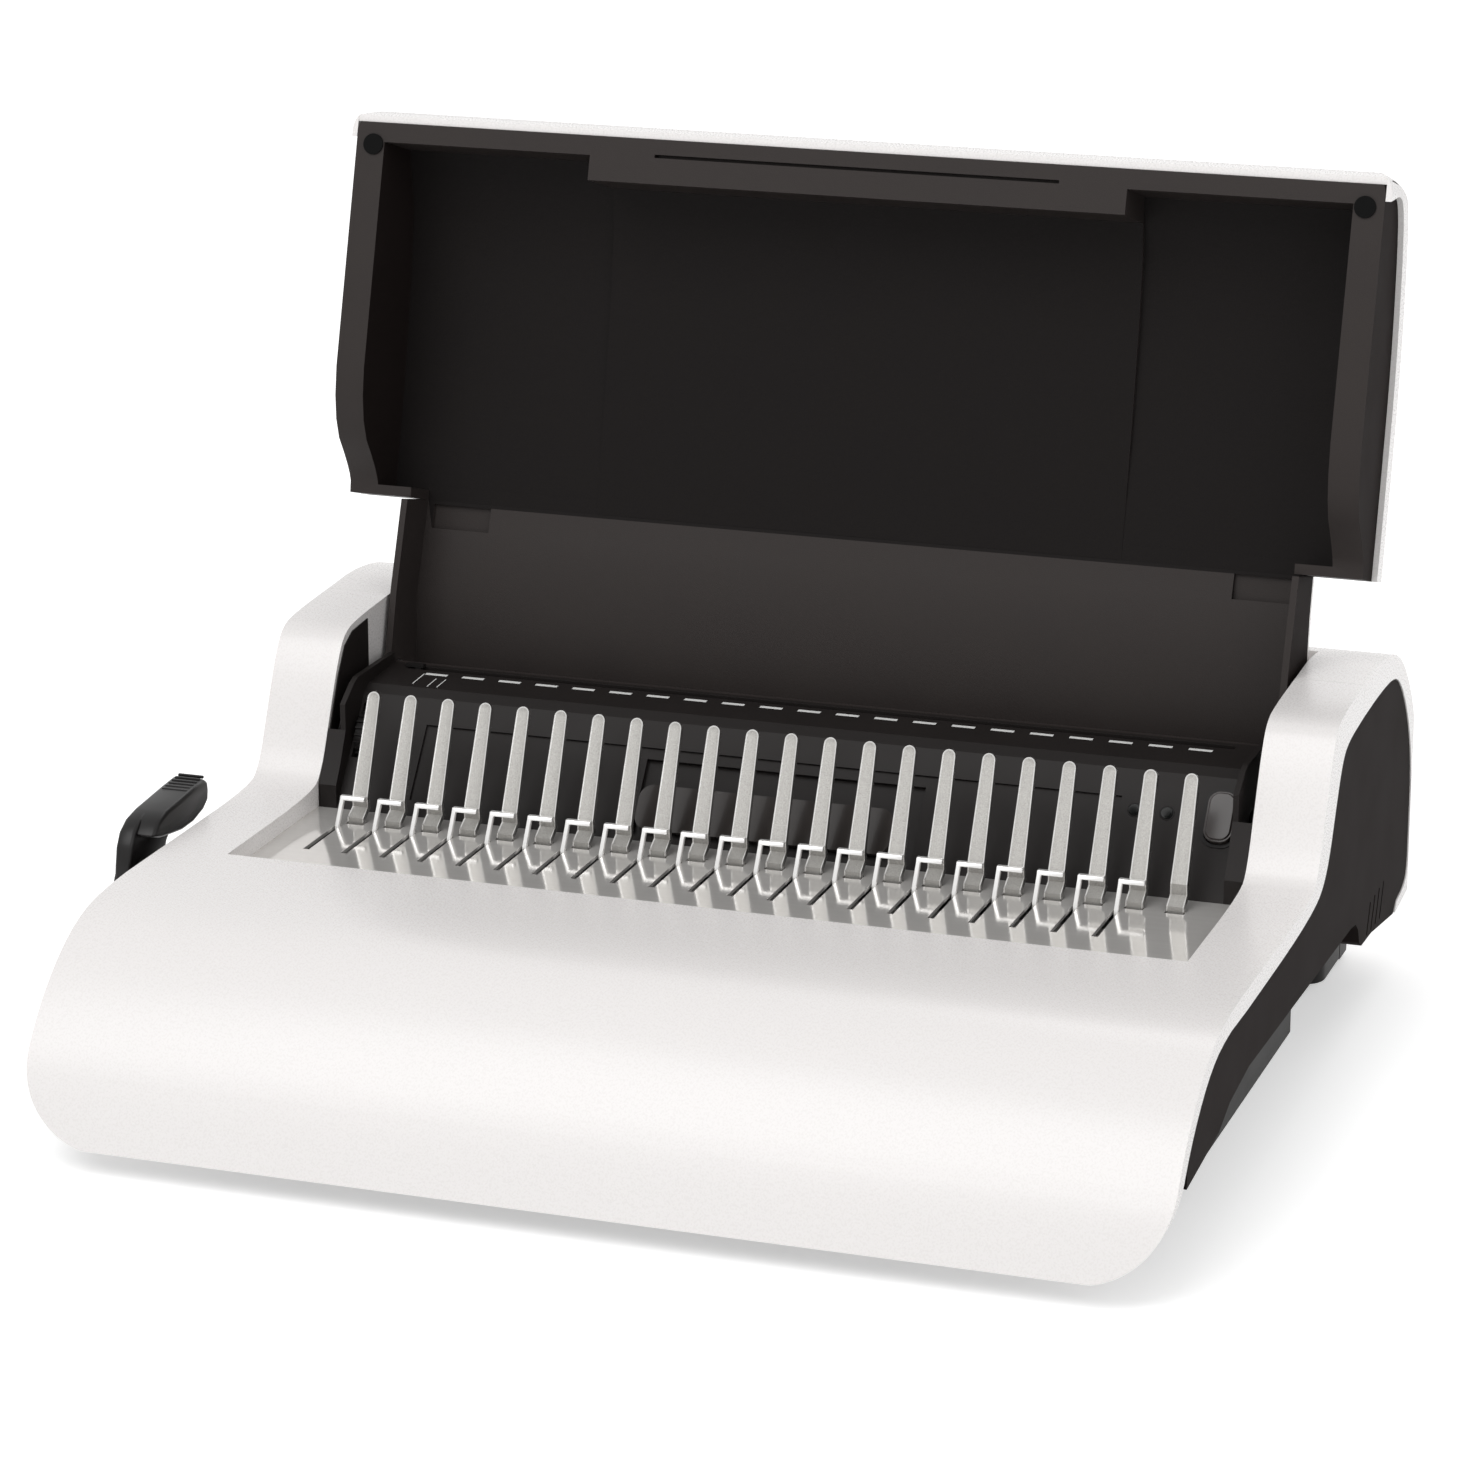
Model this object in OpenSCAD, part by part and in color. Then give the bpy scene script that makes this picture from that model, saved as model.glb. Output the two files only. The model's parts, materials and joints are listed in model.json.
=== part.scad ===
// Comb binding machine: motorised 21-hole punch with a hand-lever comb opener.
// Millimetres, +Z up, +X to the machine's right, -Y to the operator.
// The lid is drawn shut and then swung back to its rest pose (open).

/* [Body] */
// Width over the two side panels
body_width = 390; // [370:1:410]
// Height of the flat deck and of the arms beside the well
deck_z = 74.5; // [70:0.5:80]
// Wall thickness of the white covers
cover_wall = 2.5; // [2:0.1:3.5]
// How far the white covers wrap down over the dark side panels
cover_lip = 6.5; // [4:0.5:8]
// Rounding of the two rear corners seen from above
rear_corner_r = 14; // [12:1:30]
// Rounding of the two lower front corners seen from the front
front_corner_r = 30; // [20:1:40]
// Width of each arm beside the well
arm_width = 24.6; // [22:0.2:28]
// Front edge of the well
well_front_y = -66; // [-72:1:-60]

/* [Comb opener] */
// Spacing of the comb fingers and of the punched holes (9/16 inch)
pitch = 14.2875; // [14.2:0.0125:14.4]
// Number of upright fingers
finger_count = 22; // [20:1:24]
// Number of punched holes and of hooks
hole_count = 21; // [19:1:23]
// Lean of the fingers from upright, degrees
finger_lean = 23.5; // [15:0.5:30]
// Height of the finger tops
finger_top_z = 112; // [100:1:114]
// Finger width at the rounded top
finger_top_w = 4.6; // [4:0.1:5.5]
// Finger width at the foot
finger_foot_w = 6.2; // [5.5:0.1:7]
// Thickness of the sheet-steel comb plate
plate_t = 1.4; // [1:0.1:2]
// Height of the top of the comb plate
plate_z = 68; // [66:0.5:70]
// Travel of the hooks towards the operator
hook_travel = 26; // [20:1:28]
// Swing of the binding lever, degrees
lever_swing = 100; // [80:5:110]

/* [Lid] */
// How far each lid wing stays inside the body's width
lid_inset = 2.5; // [1:0.5:5]
// Play of the lid neck between the arms, each side
neck_play = 1.8; // [1.2:0.1:2.4]
// Angle the lid leans back from shut to open, degrees
lid_open = 106.6; // [95:0.2:108]
// Hinge pin radius
hinge_pin_r = 3; // [2.5:0.1:4]
// Play of the lid on its hinge pins, on the radius
hinge_play = 0.05; // [0.03:0.01:0.1]

/* [Punch] */
// Travel of the punch bar through the paper
punch_stroke = 10; // [8:0.5:10]
// Width of each rectangular punch
punch_w = 8; // [7:0.1:8.5]
// Height of each rectangular punch
punch_h = 3; // [2.6:0.1:3.4]
// Width of the paper throat
throat_gap = 3.4; // [3:0.1:4]
// Radius of the camshaft
cam_shaft_r = 4.5; // [4:0.1:5]
// Teeth on the camshaft gear
gear_teeth = 44; // [40:1:48]
// Teeth on the motor pinion
pinion_teeth = 12; // [10:1:14]

/* [Fits] */
// Play between a shaft and its bore, on the radius
shaft_play = 0.05; // [0.03:0.01:0.1]
// Gap between parts that move past each other
move_gap = 0.3; // [0.3:0.05:0.6]

/* [Hidden] */
$fn = 48;
e = 0.01;
half = body_width / 2;
well_half = half - arm_width;
lid_half = half - lid_inset;
neck_half = well_half - neck_play;
side_in = half - cover_wall;        // inner face of the white side lips
panel_in = side_in - cover_wall;    // inner face of the dark side panels
lever_out = half + 18;              // outer face of the lever
mid_x = (lever_out - half) / 2;     // centres the whole width, lever included
hinge = [78.5, 102.3];              // lid hinge axis, Y and Z
pan_half = half - 19.5;             // outer face of the base pan
foot_h = 3;                         // height of the rubber feet
floor_t = 2.5;                      // base pan floor
wall_a = [12.6, plate_z];           // foot of the sloping well wall
wall_b = [38, 101];                 // its top
wall_lean = atan2(wall_b[0] - wall_a[0], wall_b[1] - wall_a[1]);
cheek_in = well_half - 7;           // inner face of the well cheeks
cheek_out = cheek_in + 2;           // outer face of the well cheeks
shelf_z = 107.2;                    // paper shelf height at its rear
throat_y = 65;                      // centre of the paper throat
trough_r = 31;                      // clear radius behind the hinge
knuckle_r = 30;                     // radius of the lid's rear end
lid_corner_r = 9;                   // rounding of the lid's front corners in plan
lid_strip = 99.6;                   // half length of the wider strip at the lid's front
bumper_in = 8.8;                    // bumper centre from the lid's side
bumper_y = -111;
bumper_r = 3.8;
finger_x0 = -pitch * (finger_count - 1) / 2;
hole_x0 = -pitch * (hole_count - 1) / 2;
foot_y = -1.5;                      // finger feet
foot_z = 66;
hook_dx = -5;                       // hook leg beside its finger
hook_y = -7.5;                      // front of the hook legs at rest
punch_z = 46;                       // height of the punch pins
cam_c = [20, 38];                   // camshaft axis, Y and Z
cam_off = punch_stroke / 2;
cam_r = 7;
yoke_x = 62;                        // centre of each eccentric and its yoke
gear_tip_r = 22;
pinion_tip_r = 7;
motor_y = cam_c[0] - gear_tip_r - pinion_tip_r - move_gap;
chassis_x = pan_half - 17.5;        // inner face of the chassis plates
gear_x = 4.5 - pan_half;            // outer face of the camshaft gear
motor_x = -chassis_x - 1;           // mounting face of the motor
rail_half = pan_half - 14.5;        // end of the hook rail
throat_half = chassis_x - 4;        // end of the paper throat
lever_c = [-60, 57.5];                // lever shaft axis, Y and Z
lever_shaft_r = 5;
lever_in = lever_out - 13;          // inner face of the lever arm
crank_r = 11;
wheel_c = [35.7, 88.8];             // edge-guide thumbwheel axis, Y and Z
wheel_x = 3.9 - cheek_in;           // middle of the thumbwheel
button_c = [cheek_in - 5.9, 92];            // punch button, X and Z on the wall
drawer_y0 = 73.5;
drawer_y1 = 150;
drawer_top = 22;                    // clears the right panel's underside
bulge_y0 = 118;                     // front end of the base's rear bulges, one being the drawer's
bulge_y1 = 171;                     // their rear end
bulge_top = 20.8;
board_y = 154;                      // front of the circuit board
inlet_x = 120;                      // power inlet on the rear
switch_x = 82;                      // power switch on the rear
rocker_c = [177, 50];               // its rocking axis, Y and Z

white = [0.94, 0.94, 0.93];
charcoal = [0.22, 0.20, 0.19];
black = [0.07, 0.07, 0.07];
steel = [0.78, 0.79, 0.80];

// Deck and arm skyline, from the lip's lower edge back to the cover seam.
skyline = smooth([[-185, 9], [-178, 30], [-163, 51], [-140, 68], [-116, deck_z], [-60, deck_z],
    [7, deck_z], [16, 80], [25, 100], [33, 117], [40, 126], [54, 128], [81.9, 129.2]], 2);
// Rear cover skyline, from the seam back and down to its lower edge.
rear_skyline = smooth([[82.1, 129.2], [110, 130.5], [142, 125], [167, 104], [181, 78], [186.5, 54],
    [186.5, 32], [180, 26], [168, 24.2], [154, 23]], 2);
body_back = max([for (p = rear_skyline) p[0]]);
// Upper edge of the dark side panels where it shows, front cover then rear cover.
panel_top = concat([for (p = shift_line(skyline, cover_lip)) if (p[0] < -95) p],
    smooth([[-85, 67.2], [-20, 67.6], [11, 69.6], [24, 72.6], [33, 80.5], [41.5, 96.5], [49.5, 110.5],
        [58, 115.3], [81.9, 117.2]], 2));
rear_panel_top = smooth([[82.1, 117.2], [110, 118.4], [136, 117.4], [150, 109.5], [164, 93],
    [172, 75], [173.5, 50], [172.6, 34], [168, 28.5], [154, 26.5]], 2);
// Lower edge of the dark side panels, front to rear.
panel_low = [[-159.5, 34], [-118, 37.5], [-104, 42.5], [-78, 45.6], [-20, 44.2], [16, 43.2],
    [76, 41.6], [84, 40.6], [88.5, 37], [91, 31.5], [95, 29], [111.5, 28.4], [150, 23]];

// ---------- helpers ----------
function unit(v) = v / norm(v);
function nrm(a, b) = let (d = unit(b - a)) [d[1], -d[0]];
// Polyline moved by d to its right-hand side, corners mitred.
function shift_line(p, d) = [for (i = [0:len(p) - 1])
    let (n1 = nrm(p[max(i - 1, 0)], p[max(i, 1)]),
         n2 = nrm(p[min(i, len(p) - 2)], p[min(i + 1, len(p) - 1)]))
    p[i] + d * (n1 + n2) / (1 + n1 * n2)];
// Corner-cut polyline: each pass halves the turn at every corner, ends kept.
function smooth(p, passes) = passes == 0 ? p : smooth(concat([p[0]],
    [for (i = [0:len(p) - 2], f = [0.25, 0.75]) p[i] + f * (p[i + 1] - p[i])],
    [p[len(p) - 1]]), passes - 1);
function backward(p) = [for (i = [len(p) - 1:-1:0]) p[i]];
function ribbon(p, t) = concat(p, backward(shift_line(p, t)));
function finger_x(i) = finger_x0 + i * pitch;
function hole_x(i) = hole_x0 + i * pitch;

// Side-view outline (Y, Z) swept from x0 to x1.
module sweep_x(p, x0, x1) {
    translate([x0, 0, 0]) rotate([90, 0, 90]) linear_extrude(height = x1 - x0) polygon(p);
}
module both_sides() { children(); mirror([1, 0, 0]) children(); }
module box(a, b) { translate(a) cube(b - a); }
module rod_x(x0, x1, c, r) { translate([x0, c[0], c[1]]) rotate([0, 90, 0]) cylinder(h = x1 - x0, r = r); }
module rod_y(x, y0, y1, z, r) { translate([x, y0, z]) rotate([-90, 0, 0]) cylinder(h = y1 - y0, r = r); }
module rod_z(x, y, z0, z1, r) { translate([x, y, z0]) cylinder(h = z1 - z0, r = r); }
// Plan outline of the body with rounded rear corners, inset by d.
module plan_block(d) {
    r = rear_corner_r;
    y1 = body_back;
    box([-half + d, -230, -20], [half - d, y1 - r, 160]);
    box([-half + r, -230, -20], [half - r, y1 - d, 160]);
    both_sides() rod_z(half - r, y1 - r, -20, 160, r - d);
}
// Front outline with rounded lower corners, inset by d.
module front_block(d) {
    r = front_corner_r;
    z = skyline[0][1] - 0.6 + r;
    box([-half + d, -230, z], [half - d, 230, 160]);
    box([-half + r, -230, 0], [half - r, 230, 160]);
    both_sides() rod_y(half - r, -230, 230, z, r - d);
}
// Swung about the lid hinge from shut to the rest pose.
module swung_open() {
    translate([0, hinge[0], hinge[1]]) rotate([-lid_open, 0, 0])
        translate([0, -hinge[0], -hinge[1]]) children();
}
// Frame on the well wall: x along X, y into the wall, z up the slope.
module on_wall() { translate([0, wall_a[0], wall_a[1]]) rotate([-wall_lean, 0, 0]) children(); }
// Rounded upright slab on the wall, centred on x, z.
module wall_pad(x, z, w, h, r, y0, y1) {
    on_wall() translate([x, 0, z]) {
        box([-w / 2 + r, y0, -h / 2], [w / 2 - r, y1, h / 2]);
        box([-w / 2, y0, -h / 2 + r], [w / 2, y1, h / 2 - r]);
        for (sx = [-1, 1], sz = [-1, 1]) rod_y(sx * (w / 2 - r), y0, y1, sz * (h / 2 - r), r);
    }
}
// Slope distance up the wall of a given height.
function up_wall(z) = (z - wall_a[1]) / cos(wall_lean);
module gear(tip_r, teeth, x0, x1, c) {
    depth = 2 * tip_r / (teeth + 2) * 1.1;
    translate([x0, c[0], c[1]]) rotate([90, 0, 90]) linear_extrude(height = x1 - x0)
        polygon([for (i = [0:teeth - 1], k = [[0.05, 0], [0.3, 0], [0.4, 1], [0.6, 1], [0.7, 0]])
            let (a = (i + k[0] + 0.25) * 360 / teeth, r = tip_r - depth * (1 - k[1]))
            [r * cos(a), r * sin(a)]]);
}

// ---------- body ----------
module top_cover() {
    y_end = skyline[len(skyline) - 1][0];
    inner = shift_line(skyline, cover_wall);
    color(white) difference() {
        intersection() {
            sweep_x(concat(skyline, [[y_end, 60], [12.4, 60], [-160, 9]]), -half, half);
            front_block(0);
        }
        // Hollow under the skin, leaving the inner walls of the arms.
        difference() {
            sweep_x(concat(inner, [[y_end + 1, 50], [y_end + 1, -20], [-230, -20],
                [-230, 0]]), -side_in, side_in);
            both_sides() box([well_half, well_front_y - 2.2, plate_z], [well_half + 2.2, 90, 160]);
            box([-well_half - 2.2, well_front_y - 2.2, plate_z], [well_half + 2.2, well_front_y, deck_z]);
        }
        // Open sides below the wrapped lip.
        sweep_x(concat(panel_top, [[y_end + 1, 50], [y_end + 1, -20], [-230, -20]]),
            -half - 1, -side_in + e);
        sweep_x(concat(panel_top, [[y_end + 1, 50], [y_end + 1, -20], [-230, -20]]),
            side_in - e, half + 1);
        // The well.
        box([-well_half, well_front_y, plate_z - 20], [well_half, y_end + 1, 160]);
        both_sides() rod_x(well_half - 1, well_half + 4, hinge, hinge_pin_r + 1.6);
    }
}

module rear_cover() {
    inner = shift_line(rear_skyline, cover_wall);
    apron = [[119.8, 140], [119.8, 131.8], [109.6, 96.5], [109.6, 60]];
    color(white) difference() {
        intersection() {
            sweep_x(concat(rear_skyline, [[150, 23], [82.1, 60]]), -half, half);
            plan_block(0);
        }
        difference() {
            intersection() {
                sweep_x(concat(inner, [[140, 15], [81, 15], [81, 128]]), -side_in, side_in);
                plan_block(cover_wall);
            }
            // Arms' inner walls and the apron behind the lid neck.
            both_sides() box([well_half, 82.1, 66], [well_half + 2.2, 122, 160]);
            sweep_x(ribbon(backward(apron), 2.2), -well_half - 2.2, well_half + 2.2);
        }
        // Room for the lid neck.
        sweep_x([[80, 40], [109.6, 60], [109.6, 96.5], [119.8, 131.8], [119.8, 140], [80, 140]],
            -well_half, well_half);
        // Open sides inside the wrapped lip.
        intersection() {
            both_sides() sweep_x(concat(rear_panel_top, [[146, 15], [81, 10], [81, 117]]),
                side_in - e, half + 1);
            box([-half - 1, 80, 0], [half + 1, body_back - rear_corner_r, 140]);
        }
        box([inlet_x - 15, 160, 38], [inlet_x + 15, 200, 62]);
        box([switch_x - 11.2, 160, 42.8], [switch_x + 11.2, 200, 57.2]);
        both_sides() rod_x(well_half - 1, well_half + 4, hinge, hinge_pin_r + 1.6);
        both_sides() rod_z(120, 162, 20, 30, 1.6);
    }
}

// Side view of a side panel under the given front and rear edges.
function panel_outline(front, rear) = concat(
    [for (p = front) if (p[0] > panel_low[0][0]) p],
    [for (p = rear) if (p[0] > 84 && (p[1] > 40 || p[0] > 154)) p],
    backward(panel_low));

module side_panel(right) {
    seam_y = body_back - rear_corner_r;
    difference() {
        union() {
            intersection() {
                sweep_x(panel_outline(shift_line(skyline, cover_wall),
                    shift_line(rear_skyline, cover_wall)), panel_in, side_in);
                plan_block(cover_wall);
                box([0, -230, 0], [half, seam_y + 9, 160]);
            }
            intersection() {
                sweep_x(panel_outline(shift_line(panel_top, 0.3), shift_line(rear_panel_top, 0.3)),
                    side_in - e, half - 0.4);
                box([0, -230, 0], [half, seam_y - 0.3, 160]);
            }
            // Underside flange that reaches in to the base pan.
            sweep_x(ribbon(backward(panel_low), 2.2), pan_half - 2.5, half - 1.2);
        }
        // Slanted vents low at the rear.
        for (i = [0:3])
            translate([0, 106 + 7.4 * i, 35.5]) rotate([-24, 0, 0])
                box([panel_in - 1, -0.8, -6 - i * 0.3], [half + 1, 0.8, 6 + i * 0.3]);
        if (!right) rod_x(panel_in - 1, half + 1, lever_c, 8);
    }
}
module side_panel_right() { color(charcoal) side_panel(true); }
module side_panel_left() { color(charcoal) mirror([1, 0, 0]) side_panel(false); }

// Side wall of the base pan, front bulge or rear block.
module pan_side(x0, x1, ya, yb) {
    intersection() {
        sweep_x(concat([for (p = panel_low) p + [0, -2.2]], [[150, foot_h], [-100, foot_h],
            [-159.5, 30]]), x0, x1);
        box([x0 - 1, ya, 0], [x1 + 1, yb, 60]);
    }
}
// Rear bulge below a side panel, from behind the drawer to its rounded rear end.
module pan_bulge() {
    difference() {
        bulge_block(0);
        bulge_block(2.5);
    }
}
module bulge_block(d) {
    y0 = drawer_y1 + 0.4;
    x0 = pan_half - 20.5 + d;
    top = bulge_top + d;
    box([x0, y0 + d, foot_h + d], [pan_half - 10, bulge_y1 - d, top]);
    box([x0, y0 + d, foot_h + d], [pan_half - d, bulge_y1 - 10, top]);
    rod_z(pan_half - 10, bulge_y1 - 10, foot_h + d, top, 10 - d);
}

module base_pan() {
    z0 = foot_h;
    z1 = foot_h + floor_t;
    color(black) difference() {
        union() {
            box([-pan_half + 20, -100, z0], [pan_half - 20, 154.5, z1]);
            box([-pan_half, -88, z0], [pan_half, 70, z1]);
            both_sides() rod_z(pan_half - 12, -88, z0, z1, 12);
            box([-pan_half + 12, -100, z0], [pan_half - 12, -60, z1]);
            // Walls: front, sides, grips and rear.
            box([-pan_half + 12, -100, z0], [pan_half - 12, -97.5, 34]);
            both_sides() difference() {
                rod_z(pan_half - 12, -88, z0, 36, 12);
                rod_z(pan_half - 12, -88, z0 - 1, 37, 9.5);
                box([0, -101, 0], [pan_half - 12, -60, 40]);
                box([0, -88, 0], [200, -60, 40]);
            }
            both_sides() pan_side(pan_half - 2.5, pan_half, -88, 70);
            both_sides() box([pan_half - 20, 67.5, z0], [pan_half, 70, 32.5]);
            both_sides() box([chassis_x + 3, 67.5, z0], [pan_half, 70, 38.8]);
            box([-pan_half + 20, 67.5, z0], [-pan_half + 22.5, 120.5, 30]);
            box([-pan_half, 118, z0], [-pan_half + 22.5, 120.5, 26]);
            box([-pan_half, 118, z0], [-pan_half + 2.5, 154.5, 22]);
            box([-pan_half, 118, z0], [-pan_half + 22.5, 154.5, z1]);
            box([-pan_half, 152, z0], [pan_half - 20, 154.5, 23]);
            box([-pan_half, 152, 20.5], [pan_half, 168, 22.8]);
            both_sides() pan_bulge();
            // Runners for the chip drawer.
            for (y = [80, 140]) box([-150, y, z1], [150, y + 4, z1 + 0.6]);
            // Bosses under the comb plate and the cover screws.
            both_sides() rod_z(140, -70, z1, plate_z - plate_t, 5);
            both_sides() rod_z(pan_half - 6.5, -32, z1, plate_z - plate_t, 4.5);
            both_sides() rod_z(140, -88, z1, 72, 4.5);
        }
        both_sides() rod_z(140, -88, 0, 60, 1.6);
        both_sides() rod_z(140, -88, 0, z1 - 0.5, 3.2);
        both_sides() rod_z(120, 162, 18, 24, 1.7);
    }
}
module rubber_feet() {
    color(black) both_sides() for (y = [-80, 142]) difference() {
        rod_z(y > 0 ? 138 : 158, y, 0, foot_h, 8);
        rod_z(y > 0 ? 138 : 158, y, -1, 0.8, 4);
    }
}

module well_liner() {
    spine = [[wall_a[0], 60], wall_a, wall_b, [40.2, 103.8], [44.5, 106.2], [66, shelf_z], [69.5, shelf_z]];
    cheek = [[12.6, 62], [12.6, 76.4], [17, 83.4], [22.4, 94.4], [22.4, 104], [31, 109.6],
        [35, 111], [69.5, 111], [69.5, 92], [40, 92], [17, 62]];
    color(charcoal) difference() {
        union() {
            sweep_x(ribbon(spine, 4.5), -cheek_in - 1, cheek_in + 1);
            both_sides() sweep_x(cheek, cheek_in, cheek_out);
            both_sides() intersection() {
                sweep_x(cheek, cheek_in, well_half - 0.2);
                box([0, 0, 0], [200, 22.4, 160]);
            }
            // Lugs that carry the thumbwheel axle.
            rod_x(wheel_x + 4, wheel_x + 6.5, wheel_c, 5);
        }
        // Paper slot and the shallow recesses in the wall.
        box([-throat_half - 2, throat_y - throat_gap / 2, 95], [throat_half, throat_y + throat_gap / 2, 112]);
        on_wall() box([-136.6, -1, 6], [121.7, 1, 35]);
        on_wall() box([-51.5, -1, 2], [51.7, 3, 31]);
        // Slot for the thumbwheel, holes for its axle.
        on_wall() box([wheel_x - 3, -4, up_wall(wheel_c[1]) - 6.3], [wheel_x + 3, 8, up_wall(wheel_c[1]) + 15]);
        rod_x(-cheek_out - 1, -cheek_in + 1, wheel_c, 2 + shaft_play);
        rod_x(wheel_x + 3, wheel_x + 8, wheel_c, 2 + shaft_play);
        // Punch button and indicator openings.
        wall_pad(button_c[0], up_wall(button_c[1]), 10.9, 19.2, 4.6, -1, 7);
        wall_pad(button_c[0], up_wall(button_c[1]), 13.2, 21.5, 5.6, -1, 1);
        for (x = [127, 138.4]) on_wall() rod_y(x, -1, 7, up_wall(92), 2);
    }
}
module button_bezel() {
    color(black) difference() {
        wall_pad(button_c[0], up_wall(button_c[1]), 13.2, 21.5, 5.6, -0.4, 1);
        wall_pad(button_c[0], up_wall(button_c[1]), 10.9, 19.2, 4.6, -1, 2);
    }
}
module indicator_lenses() {
    color([0.2, 0.5, 0.25]) for (x = [127, 138.4]) on_wall() {
        rod_y(x, -0.5, 3.5, up_wall(92), 2);
        rod_y(x, -0.9, -0.5, up_wall(92), 1.5);
    }
}
module gauge_window() {
    color([0.3, 0.28, 0.27, 0.6]) difference() {
        wall_pad(-4, up_wall(78), 94, 17, 5, -0.6, 3);
        wall_pad(-4, up_wall(78), 90, 13, 3.2, 0.8, 4);
    }
}
module hinge_trough() {
    arc = [for (a = [196:6:344]) hinge + (trough_r + 2) * [cos(a), sin(a)]];
    keep = [for (p = arc) if (p[0] > 69.5 && p[0] < 109.3) p];
    color(charcoal) sweep_x(concat([[69.5, shelf_z]], [[69.5, keep[0][1]]], keep, [[109.4, 96]],
        [for (a = [344:-6:260]) hinge + trough_r * [cos(a), sin(a)]],
        [[71.5, hinge[1] - sqrt(trough_r * trough_r - 49)], [71.5, shelf_z]]), -cheek_out, cheek_out);
}
module comb_plate() {
    color(steel) difference() {
        box([-well_half - 3, well_front_y - 9, plate_z - plate_t], [well_half + 3, 12.4, plate_z]);
        for (i = [0:hole_count - 1]) translate([finger_x(i) + hook_dx, 0, 0])
            box([-1.1, hook_y - hook_travel - 0.5, plate_z - 3], [1.1, hook_y + 3.1, plate_z + 1]);
        for (i = [0:finger_count - 1]) translate([finger_x(i), 0, 0])
            box([-finger_foot_w / 2 - 0.3, -3, plate_z - 3], [finger_foot_w / 2 + 0.3, 1.4, plate_z + 1]);
    }
}
module finger_rack() {
    len_f = (finger_top_z - foot_z) / cos(finger_lean) - finger_top_w / 2;
    color(steel) {
        box([finger_x0 - 6, -0.8, plate_z - plate_t - 1.5], [-finger_x0 + 6, 9, plate_z - plate_t]);
        for (i = [0:finger_count - 1]) translate([finger_x(i), foot_y, foot_z - 0.6])
            rotate([90 - finger_lean, 0, 0]) translate([0, 0, -1.2]) linear_extrude(height = 1.2) {
                polygon([[-finger_foot_w / 2, 0], [finger_foot_w / 2, 0], [finger_top_w / 2, len_f],
                    [-finger_top_w / 2, len_f]]);
                translate([0, len_f]) circle(d = finger_top_w);
            }
    }
}
module hook_guides() {
    color(black) both_sides() difference() {
        box([rail_half - 3.6, hook_y - hook_travel - 6, 54],
            [rail_half + 2.6, hook_y + 6.3, plate_z - plate_t]);
        box([rail_half - 9, hook_y - hook_travel - 4.5 - move_gap, 57 - move_gap],
            [rail_half + move_gap, hook_y + 4.5 + move_gap, 60 + move_gap]);
    }
}
module hook_rail() {
    color(steel) {
        box([-rail_half, hook_y - 4.5, 57], [rail_half, hook_y + 4.5, 60]);
        for (i = [0:hole_count - 1]) translate([finger_x(i) + hook_dx, hook_y, 0]) {
            box([-0.8, 0, 59], [0.8, 2.8, 76.5]);
            box([-0.8, 0, 75], [6.2, 2.8, 76.5]);
        }
    }
}

// ---------- punch ----------
module chassis_plates() {
    color(steel) both_sides() difference() {
        union() {
            sweep_x([[8, foot_h + floor_t], [66, foot_h + floor_t], [66, 39.3], [76, 39.3], [76, 62],
                [50, 62], [14, 56], [8, 50]], chassis_x, chassis_x + 2.5);
            box([chassis_x - 12, 8, foot_h + floor_t], [chassis_x + 2.5, 66, foot_h + floor_t + 2]);
        }
        rod_x(chassis_x - 1, chassis_x + 4, cam_c, cam_shaft_r + shaft_play);
        box([chassis_x - 1, 31 - move_gap, punch_z - 5 - move_gap],
            [chassis_x + 4, 40 + punch_stroke + move_gap, punch_z + 5 + move_gap]);
    }
}
module die_block() {
    color([0.6, 0.61, 0.63]) difference() {
        box([-chassis_x, 56, 33], [chassis_x, 72, 60]);
        box([-155, throat_y - throat_gap / 2, 37], [155, throat_y + throat_gap / 2, 61]);
        for (i = [0:hole_count - 1]) translate([hole_x(i), 0, punch_z])
            box([-punch_w / 2 - move_gap, 55, -punch_h / 2 - move_gap],
                [punch_w / 2 + move_gap, 73, punch_h / 2 + move_gap]);
    }
}
module paper_chute() {
    a = throat_y - throat_gap / 2;
    b = throat_y + throat_gap / 2;
    color(charcoal) {
        box([-156, a - 1.4, 60], [156, a, shelf_z - 5.2]);
        box([-156, b, 60], [156, b + 1.4, shelf_z - 5.2]);
        both_sides() box([154.6, a, 60], [156, b, 72]);
    }
}
module punch_bar() {
    color(steel) {
        difference() {
            box([-chassis_x - 3.5, 31, punch_z - 5], [chassis_x + 3.5, 40, punch_z + 5]);
            for (i = [0:hole_count - 1]) translate([hole_x(i), 0, punch_z])
                box([-punch_w / 2, 30, -punch_h / 2], [punch_w / 2, 41, punch_h / 2]);
            both_sides() box([yoke_x - 4, 30, 0], [yoke_x + 4, 33, 80]);
        }
        // Yokes round the two eccentrics, opened wide enough to miss them.
        both_sides() difference() {
            box([yoke_x - 3, cam_c[0] - 12 - punch_stroke - 3.6, 22], [yoke_x + 3, 33, 54]);
            box([yoke_x - 4, cam_c[0] - 12 - punch_stroke - 0.6, cam_c[1] - 12.6],
                [yoke_x + 4, cam_c[0] + 12.6, cam_c[1] + 12.6]);
        }
    }
}
module punch_pins() {
    color([0.5, 0.51, 0.53]) for (i = [0:hole_count - 1]) translate([hole_x(i), 0, punch_z])
        box([-punch_w / 2, 33, -punch_h / 2], [punch_w / 2, 62.8, punch_h / 2]);
}
module camshaft() {
    color(steel) {
        rod_x(gear_x - 1.5, chassis_x + 4, cam_c, cam_shaft_r);
        both_sides() rod_x(yoke_x - 3, yoke_x + 3, cam_c + [-cam_off, 0], cam_r);
    }
}
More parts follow.
